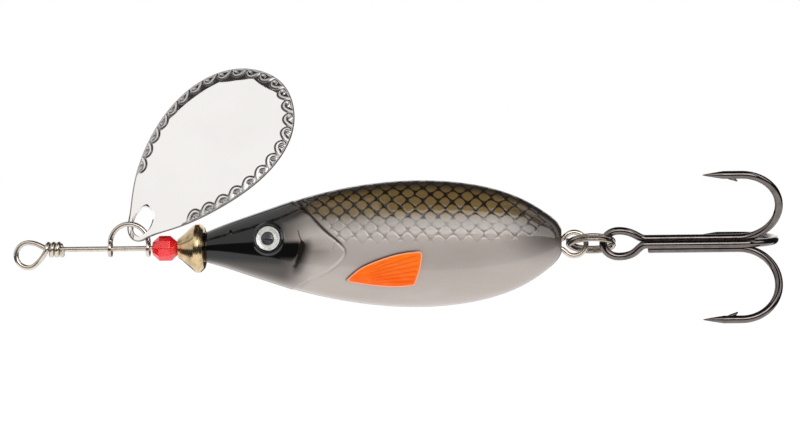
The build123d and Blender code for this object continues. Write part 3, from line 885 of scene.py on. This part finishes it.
def paint():
    """Pearl silver lacquer with a black head, a gold-green scaled back and grey scale outlines."""
    n = Nodes("Fish paint", coat_weight=0.65, coat_roughness=0.02, IOR=1.4, specular_ior_level=0.2)
    gold, ink = n.attribute("gold"), n.attribute("ink")
    flake = n.noise(5.0, 2.0)
    drift = n.noise(0.18, 3.0, stretch=(0.35, 1.0, 1.0))
    pearl = n.mix(n.span(drift, 0.35, 0.7), (0.43, 0.375, 0.345), (0.48, 0.43, 0.40))
    pearl = n.mix(n.span(n.attribute("side_z"), 0.6, 3.4), pearl, (0.23, 0.205, 0.182))
    base = scale_outlines(n, gold, n.mix(gold, pearl, gold_scales(n)))
    socket = n.rest(n.span(n.attribute("eye_gap"), 1.95, 2.2))
    line = n.times(n.rest(n.span(n.attribute("line_gap"), 0.0, 0.09)), n.attribute("line_fade"))
    for amount, colour in (
            (n.times(n.span(flake, 0.6, 0.75), 0.10), (0.9, 0.88, 0.85)),
            (n.times(n.attribute("smoke"), 0.95), (0.035, 0.027, 0.023)),
            (n.times(n.attribute("back"), 0.86), (0.018, 0.017, 0.017)),
            (ink, (0.003, 0.003, 0.003)),
            # Painted shade beside the cheek crease.
            (n.attribute("halo"), (0.006, 0.005, 0.005)),
            (socket, (0.004, 0.004, 0.004)),
            (line, (0.012, 0.009, 0.006)),
            (n.times(n.attribute("fin_shade"), 0.9), (0.05, 0.03, 0.022))):
        base = n.mix(amount, base, colour)
    n.set("Base Color", base)
    n.set("Metallic", n.span(ink, 0.0, 1.0, 0.22, 0.0))
    dull = n.math("MAXIMUM", ink, n.times(flake, 0.5))
    n.set("Roughness", n.span(dull, 0.0, 1.0, 0.42, 0.16, False))
    n.bump(n.noise(0.9, 2.0), 0.03, 0.05)
    materials["paint"] = n.material


FIN_CENTRE = np.array((46.9, -3.2))
FIN_ROOT = np.array((38.6, -4.85))
FIN_SUNK = -0.25
FIN_SIDE = 0.18
FIN_TOP = 0.32
FIN_ROUND = 0.12
FIN_LOOPS = 34
RAY_SPREAD = 3.1
RAY_DEPTH = 0.07


def fin(side, name, node):
    """Raised pectoral fin with fine rays, following the body's skin."""
    outline = fin_outline(0.07)
    cols = len(outline)
    rows, levels = [outline], [FIN_SUNK]
    for a in np.radians(np.linspace(0, 90, 5)):
        rows.append(outline + unit(FIN_CENTRE - outline) * FIN_ROUND * (1 - math.cos(a)))
        levels.append(FIN_SIDE + (FIN_TOP - FIN_SIDE) * math.sin(a))
    rim = rows[-1]
    rows += [rim + (FIN_CENTRE - rim) * (k / FIN_LOOPS) for k in range(1, FIN_LOOPS)]
    levels += [FIN_TOP] * (FIN_LOOPS - 1)
    flat = np.concatenate(rows + [FIN_CENTRE[None]])
    level = np.concatenate([np.repeat(levels, cols), [FIN_TOP]])
    rel = flat - FIN_ROOT
    fan = np.degrees(np.arctan2(rel[:, 1], rel[:, 0]))
    depth, _ = nearest(flat, outline, True)
    ray = np.abs((fan + 1.2 + 0.12 * rel[:, 0]) / RAY_SPREAD % 1 - 0.5) * 2
    ray_gap = ray * math.radians(RAY_SPREAD) / 2 * np.linalg.norm(rel, axis=1)
    shaded_groove = ease(ray_gap, 0.24, 0.0) * ease(depth, 0.2, 0.6) * ease(rel[:, 0], 4.4, 7.0)
    bulge = 0.05 * np.sin(np.radians(np.clip((rel[:, 0] - 1) / 9, 0, 1) * 180))
    on_top = level > FIN_TOP - 0.02
    height = level + np.where(on_top, bulge * ease(depth, 0, 0.8) - RAY_DEPTH * shaded_groove, 0)
    y = side * (on_skin(flat[:, 0], flat[:, 1]) + height)
    points = np.stack([flat[:, 0], y, flat[:, 1]], 1)
    faces = quads(len(rows), cols, close_cols=True)
    last = (len(rows) - 1) * cols
    faces += [[last + c, last + (c + 1) % cols, len(flat) - 1] for c in range(cols)]
    faces.append(list(range(cols))[::-1])
    if side > 0:
        faces = [face[::-1] for face in faces]
    piece = add(name, "body", [node], [(points, faces)],
                {"rim_gap": depth, "ray": shaded_groove, "fin_z": flat[:, 1]})
    finish_with(piece, "fin")


def fin_paint():
    """Orange, with painted shade in the grooves between the rays, and a paler rim."""
    n = Nodes("Fin paint", roughness=0.35, specular_ior_level=0.12, coat_weight=0.12, coat_roughness=0.05)
    glow = n.mix(n.span(n.attribute("fin_z"), -4.8, -1.2), (0.97, 0.12, 0.0), (1.0, 0.17, 0.001))
    mottle = n.noise(1.4, 3.0, stretch=(0.4, 1.0, 1.6))
    glow = n.mix(n.times(n.span(mottle, 0.4, 0.75), 0.35), glow, (1.0, 0.27, 0.03))
    # Painted shade: darker orange in the ray grooves.
    glow = n.mix(n.times(n.attribute("ray"), 0.5), glow, (0.70, 0.075, 0.002))
    rim = n.span(n.attribute("rim_gap"), 0.20, 0.08)
    n.set("Base Color", n.mix(n.times(rim, 0.75), glow, (0.90, 0.50, 0.36)))
    n.bump(n.noise(3.0, 3.0), 0.06, 0.03)
    materials["fin"] = n.material


def lathe(at, out, profile, sides=72):
    """Solid turned about the line from at along out, and each point's distance from that line."""
    right = unit(np.cross(Z, out))
    up = np.cross(out, right)
    p = np.array(profile)
    a = np.linspace(0, 2 * math.pi, sides, endpoint=False)[None, :, None]
    r, h = p[:, None, :1], p[:, None, 1:]
    points = (at + r * (np.cos(a) * right + np.sin(a) * up) + h * out).reshape(-1, 3)
    faces = quads(len(p), sides, close_cols=True)
    last = (len(p) - 1) * sides
    faces += [list(range(sides))[::-1], list(range(last, last + sides))]
    return (points, faces), np.repeat(p[:, 0], sides)


def eye(side, word):
    """Foil disc with a bright ring, a dark pupil and a clear dome."""
    out = unit(EYE_WAY * (1, side, 1))
    at = EYE_AT * (1, side, 1)
    base, worn, gap = EYE_DISC_T, 0.05, 0.004
    top = base + PUPIL_T
    ball = (EYE_R**2 + DOME_H**2) / (2 * DOME_H)
    rim = math.asin((EYE_R - 0.01) / ball)
    foot = base + 0.005 + DOME_H - ball
    cap = [(ball * math.sin(a), foot + ball * math.cos(a)) for a in np.linspace(rim, 0.04, 18)]
    profiles = {
        "disc": [(EYE_R - worn, 0.0), (EYE_R, 0.06), (EYE_R, base - worn), (EYE_R - 0.06, base),
                 (1.2, base), (0.9, base), (0.4, base)],
        "pupil": [(PUPIL_R, base - 0.02), (PUPIL_R, top - 0.02), (PUPIL_R - 0.03, top),
                  (0.6, top), (0.2, top)],
        "dome": [(0.02, top + gap), (PUPIL_R, top + gap), (PUPIL_R + 0.04, base + gap),
                 (EYE_R - 0.012, base + gap), *cap],
    }
    slots = {"disc": "eye_foil", "pupil": "eye_pupil", "dome": "clear_resin"}
    for part, profile in profiles.items():
        node = f"{word}_eye_{part}"
        solid, radius = lathe(at, out, profile)
        piece = add(node + "_look", "body", [node], [solid], {"radius": radius})
        finish_with(piece, slots[part])


def eye_materials():
    n = Nodes("Eye foil", metallic=0.85, coat_weight=0.5)
    brushed = n.noise(2.2, 3.0)
    base = n.mix(n.span(brushed, 0.35, 0.7), (0.86, 0.84, 0.79), (0.60, 0.58, 0.53))
    n.set("Base Color", n.mix(n.span(n.attribute("radius"), 1.50, 1.54), base, (0.02, 0.02, 0.02)))
    n.set("Roughness", n.span(brushed, 0.3, 0.7, 0.22, 0.42, False))
    n.bump(brushed, 0.2, 0.04)
    materials["eye_foil"] = n.material
    n = Nodes("Eye pupil", roughness=0.25, metallic=0.3)
    base = n.mix(n.noise(2.5), (0.020, 0.023, 0.030), (0.010, 0.011, 0.016))
    n.set("Base Color", n.mix(n.span(n.attribute("radius"), 0.62, 0.74), base, (0.002, 0.002, 0.003)))
    materials["eye_pupil"] = n.material
    n = Nodes("Clear resin", transmission_weight=1.0, IOR=1.32, base_color=(0.97, 0.98, 0.98))
    n.set("Roughness", n.span(n.noise(0.8), 0.3, 0.7, 0.0, 0.03, False))
    materials["clear_resin"] = n.material


# ---------------------------------------------------------------- split ring and treble
RING_X, RING_Z = 72.05, 0.05
RING_R = 2.9
RING_WIRE_R = 0.25
RING_PITCH = 0.53
RING_TURNS = 1.94
RING_TURN = 200.0
RING_LEAN = 19.0


def split_ring():
    """Just under two turns of spring wire, leaning between the two eyes."""
    turns = np.linspace(0, RING_TURNS, 260)
    a = 2 * math.pi * turns
    coil = np.stack([RING_R * np.cos(a), RING_R * np.sin(a), RING_PITCH * (turns - RING_TURNS / 2)], 1)
    line = about(about(coil, RING_TURN, 0, 1), -RING_LEAN, 1, 2) + (RING_X, 0, RING_Z)
    piece = add("split_ring_look", "ring", ["split_ring"], [tube(line, RING_WIRE_R, 20)])
    finish_with(piece, "ring")


HOOK_WIRE_R = 0.5
HOOK_EYE_X = 75.25
HOOK_EYE_R = 1.62
SHANK_X0 = 79.0
BEND_X = 90.75
BEND_R = 4.87
SPEAR_LENGTH = 2.2
POINT_LENGTH = 2.6
POINT_TIP_R = 0.04
TREBLE_ROLL = 5.7
TREBLE_Z = -0.13
NECK_X = 77.6
CROWN_X = HOOK_EYE_X + 0.35
SINGLE_X0 = SHANK_X0 + 0.3
BRAZE_X = (SHANK_X0 + 0.6, BEND_X - 1.1)
BRAZE_Y = 0.1
SHANKS = {"away": (-0.60, 0.0), "upper": (0.25, 0.66), "lower": (0.25, -0.66)}
HOOK_ANGLE = {"away": 0.0, "upper": 120.0, "lower": -120.0}


def hook(which):
    """Line of one hook from its shank to its tip, its wire radius, and its outward direction."""
    y, z = SHANKS[which]
    a = math.radians(HOOK_ANGLE[which])
    out = np.array([0, math.cos(a), math.sin(a)])
    foot = np.array([BEND_X, y, z])
    reach = 2 * BEND_R
    bend = arc(foot + out * BEND_R, BEND_R, -out, X, 0, 180, 4)
    spear = np.linspace(foot + out * reach, foot + out * reach - X * SPEAR_LENGTH, 8)
    point = np.linspace(spear[-1], spear[-1] - X * POINT_LENGTH, 26)
    line = joined(bend, spear, point)
    beyond = line @ out > foot @ out + BEND_R
    left = np.where(beyond, line[:, 0] - point[-1, 0], POINT_LENGTH)
    taper = np.clip(left / POINT_LENGTH, 0, 1)
    radius = POINT_TIP_R + (HOOK_WIRE_R - POINT_TIP_R) * taper**0.85
    return line, radius, out, foot


def barb(foot, out):
    """Sliver cut and raised from the inner side of the spear."""
    reach = 2 * BEND_R
    along = np.array((-2.2, -1.5, -0.52, -0.40, -0.65, -0.9))
    up = reach - np.array((0.30, 0.60, 1.0, 0.93, 0.60, 0.28))
    side = np.cross(X, out)
    half = np.array((0.05, 0.15, 0.06, 0.06, 0.16, 0.2))
    points = [foot + X * a + out * u + side * s * h for s in (-1, 1) for a, u, h in zip(along, up, half)]
    n = len(along)
    faces = [list(range(n))[::-1], list(range(n, 2 * n))]
    faces += [[i, (i + 1) % n, (i + 1) % n + n, i + n] for i in range(n)]
    return np.array(points), faces


def treble_piece(name, node, parts, key):
    """A piece of the treble, rolled as a whole the way it hangs."""
    parts = [(about(points, TREBLE_ROLL, 1, 2) + (0, 0, TREBLE_Z), faces) for points, faces in parts]
    finish_with(add(name, "treble", [node], parts), key)


def double_hook():
    """One wire with a hook at each end, which also forms the eye."""
    up_line, up_r, up_out, up_foot = hook("upper")
    away_line, away_r, away_out, away_foot = hook("away")
    start = np.array((SHANK_X0, *SHANKS["upper"]))
    end = np.array((SHANK_X0, *SHANKS["away"]))
    mid = (start[1] + end[1]) / 2
    top, bottom = (CROWN_X, mid, HOOK_EYE_R + 0.14), (CROWN_X, mid, 0.1 - HOOK_EYE_R)
    half_z, mid_z = (top[2] - bottom[2]) / 2, (top[2] + bottom[2]) / 2
    half_x = CROWN_X - (HOOK_EYE_X - HOOK_EYE_R)
    nose = np.array([(half_x * -math.sin(a) + CROWN_X, mid, mid_z + half_z * math.cos(a))
                     for a in np.linspace(0, math.pi, 40)])
    eye_top = spline([start, (NECK_X, mid + 0.18, 1.25), top], -X, -X)
    eye_low = spline([bottom, (NECK_X, mid - 0.16, -0.95), end], X, X)
    shank_up = np.linspace(up_foot, start, 30)[1:]
    shank_away = np.linspace(end, away_foot, 30)[1:]
    line = np.concatenate([
        up_line[::-1], shank_up, eye_top[1:], nose[1:-1], eye_low, shank_away, away_line[1:],
    ])
    radius = np.full(len(line), HOOK_WIRE_R)
    radius[:len(up_r)] = up_r[::-1]
    radius[-len(away_r):] = away_r
    parts = [tube(line, radius, 24, False), barb(up_foot, up_out), barb(away_foot, away_out)]
    treble_piece("treble_double_look", "treble_double_hook", parts, "nickel")


def single_hook():
    """The third hook, chamfered at its front end."""
    low_line, low_r, low_out, low_foot = hook("lower")
    front = np.array((SINGLE_X0, *SHANKS["lower"]))
    shank = np.linspace(front, low_foot, 30)
    line = np.concatenate([shank[:1], (front + X * 0.12)[None], shank[1:], low_line[1:]])
    radius = np.concatenate([np.full(len(shank) + 1, HOOK_WIRE_R), low_r[1:]])
    radius[0] *= 0.8
    parts = [tube(line, radius, 24, False), barb(low_foot, low_out)]
    treble_piece("treble_single_look", "treble_single_hook", parts, "nickel")


def braze():
    """Uneven seam of brazing metal between the three shanks."""
    along = np.linspace(*BRAZE_X, 110)
    seam = np.stack([along, np.full_like(along, BRAZE_Y), np.zeros_like(along)], 1)
    ripple = 0.60 + 0.025 * np.sin(along * 2.3) + 0.015 * np.sin(along * 5.1 + 1)
    ends = np.minimum(ease(along, along[0], along[0] + 0.7), ease(along, along[-1], along[-1] - 1.0))
    parts = [tube(seam, ripple * (0.35 + 0.65 * ends), 28)]
    treble_piece("treble_braze_look", "treble_braze", parts, "braze")


# ---------------------------------------------------------------- studio
def glowing(name):
    """Emission whose strength is the mesh's glow layer."""
    material = bpy.data.materials.new(name)
    material.use_nodes = True
    tree = material.node_tree
    tree.nodes.clear()
    layer = tree.nodes.new("ShaderNodeAttribute")
    layer.attribute_name = "glow"
    light = tree.nodes.new("ShaderNodeEmission")
    out = tree.nodes.new("ShaderNodeOutputMaterial")
    tree.links.new(layer.outputs["Fac"], light.inputs["Strength"])
    tree.links.new(light.outputs[0], out.inputs[0])
    return material


def staged(name, points, faces, material):
    """Mesh of the studio, not of the object. Points in metres."""
    mesh = bpy.data.meshes.new(name)
    mesh.from_pydata(np.asarray(points).tolist(), [], faces)
    mesh.materials.append(material)
    thing = bpy.data.objects.new(name, mesh)
    bpy.context.scene.collection.objects.link(thing)
    return thing


def card(name, points, faces, glow):
    """Panel that lights the object and shows in its gloss, out of the camera's sight."""
    panel = staged(name, points, faces, glowing(name))
    layer = panel.data.attributes.new("glow", "FLOAT", "POINT")
    layer.data.foreach_set("value", np.asarray(glow, np.float32))
    panel.visible_camera = panel.visible_shadow = False


TENT_R = 0.42
TENT_ROWS = 13
DARK_WORLD = 0.04
FLOOR_REACH = 3.0
FLOOR_DROP = 0.085
TABLE_X = (-0.24, 0.26)
TABLE_Y = (-0.18, 0.20)
TABLE_RISE = 0.001


def tent(name, centre, azimuths, low, high, glow):
    """Curved softbox: azimuth 0 is towards -Y, the camera's side, and grows towards +X, in degrees.

    Its low and high edges and its glow are numbers or functions of the azimuth.
    """
    at = np.arange(azimuths[0], azimuths[1] + 1, 1.0)
    given = (k(at) if callable(k) else np.full(len(at), float(k)) for k in (low, high, glow))
    low, high, glow = (k[:, None] for k in given)
    a = np.radians(at)[:, None] + np.zeros((1, TENT_ROWS))
    e = np.radians(low + (high - low) * np.linspace(0, 1, TENT_ROWS))
    way = np.stack([np.sin(a) * np.cos(e), -np.cos(a) * np.cos(e), np.sin(e)], -1).reshape(-1, 3)
    card(name, np.array(centre) + TENT_R * way, quads(len(at), TENT_ROWS), np.repeat(glow, TENT_ROWS))


def front_low(a):
    """Lower edge of the front softbox, which reaches further down on the left."""
    return 8 - 12 * ease(a, -45, -62)


def front_top(a):
    """Upper edge of the front softbox: the blade's rim sees the dark beyond it."""
    return (28 + 30 * ease(a, -91, -88) + 8.9 * ease(a, -89, -70) - 2 * ease(a, -45, -25)
            - 30 * ease(a, -20, -3))


def front_glow(a):
    """Glow of the front softbox, brighter from about straight ahead round to the right."""
    return 1.0 + 3.2 * ease(a, -20, 4)


def surroundings():
    """White for the camera, nearly dark for everything else."""
    world = bpy.data.worlds.new("Studio")
    bpy.context.scene.world = world
    world.use_nodes = True
    tree = world.node_tree
    seen = tree.nodes.new("ShaderNodeLightPath")
    level = tree.nodes.new("ShaderNodeMapRange")
    level.inputs[3].default_value, level.inputs[4].default_value = DARK_WORLD, 1.0
    tree.links.new(seen.outputs["Is Camera Ray"], level.inputs[0])
    background = tree.nodes["Background"]
    background.inputs["Color"].default_value = (1, 1, 1, 1)
    tree.links.new(level.outputs[0], background.inputs["Strength"])


def pale_floor(z):
    """Floor that the camera sees, left out of the object's reflections and of the light that reaches it."""
    n = Nodes("Pale floor", roughness=0.9, emission_color=(1.0, 1.0, 1.0), emission_strength=1.0)
    n.set("Base Color", n.mix(n.noise(0.01), (0.93, 0.93, 0.93), (0.95, 0.95, 0.95)))
    corners = [(x * FLOOR_REACH, y * FLOOR_REACH, z) for x, y in ((-1, -1), (1, -1), (1, 1), (-1, 1))]
    floor = staged("floor", corners, [(0, 1, 2, 3)], n.material)
    floor.visible_glossy = floor.visible_diffuse = False


def studio():
    """Pale floor and surroundings, soft tents round the object and a glowing table below it."""
    low, high = cad_box
    centre = (low + high) / 2
    floor_z = low.z - FLOOR_DROP
    surroundings()
    pale_floor(floor_z)
    tent("front tent", centre, (-108, 40), front_low, front_top, front_glow)
    tent("right tent", centre, (52, 80), 10, 60, 1.8)
    tent("back tent", centre, (150, 215), 5, 38, 1.3)
    tent("left tent", centre, (-145, -114), 5, 60, 1.0)
    (x0, x1), (y0, y1) = TABLE_X, TABLE_Y
    table = [(centre.x + x, y, floor_z + TABLE_RISE) for x, y in ((x0, y0), (x1, y0), (x1, y1), (x0, y1))]
    card("table glow", table, [(0, 1, 2, 3)], np.full(4, 1.35))


CAMERA_AZIMUTH = 3.0
CAMERA_ROLL = -0.65
CAMERA_DISTANCE = 348.1
CAMERA_LENS = 122.86
AIM_FROM_FISH = Vector((2.15, 0, 3.665))


def camera():
    """View of the fish's left side, level with it, turned a little towards the tail."""
    azimuth, roll = math.radians(CAMERA_AZIMUTH), math.radians(CAMERA_ROLL)
    low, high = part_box("body_left_shell")
    aim = Vector(((low.x + high.x) / 2, 0, (low.z + high.z) / 2)) + AIM_FROM_FISH * MM
    back = Vector((math.sin(azimuth), -math.cos(azimuth), 0))
    data = bpy.data.cameras.new("camera")
    data.sensor_width = 36
    data.lens = CAMERA_LENS
    data.clip_start = 0.01
    view = bpy.data.objects.new("camera", data)
    bpy.context.scene.collection.objects.link(view)
    view.rotation_mode = "QUATERNION"
    view.location = aim + back * CAMERA_DISTANCE * MM
    view.rotation_quaternion = (-back).to_track_quat("-Z", "Y") @ Quaternion((0, 0, 1), roll)
    bpy.context.scene.camera = view
    bpy.context.scene.view_settings.view_transform = "Standard"


paint()
fin_paint()
eye_materials()
shaft()
clevis()
bead()
cone()
blade()
for side, word in ((-1, "left"), (1, "right")):
    shell(side, f"body_{word}_look", f"body_{word}_shell")
    fin(side, f"{word}_fin_look", f"body_{word}_shell")
    eye(side, word)
split_ring()
double_hook()
single_hook()
braze()
for node in ("body_weight", "nose_bush", "tail_bush"):
    finish_with(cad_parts[node], "brass")
studio()
camera()
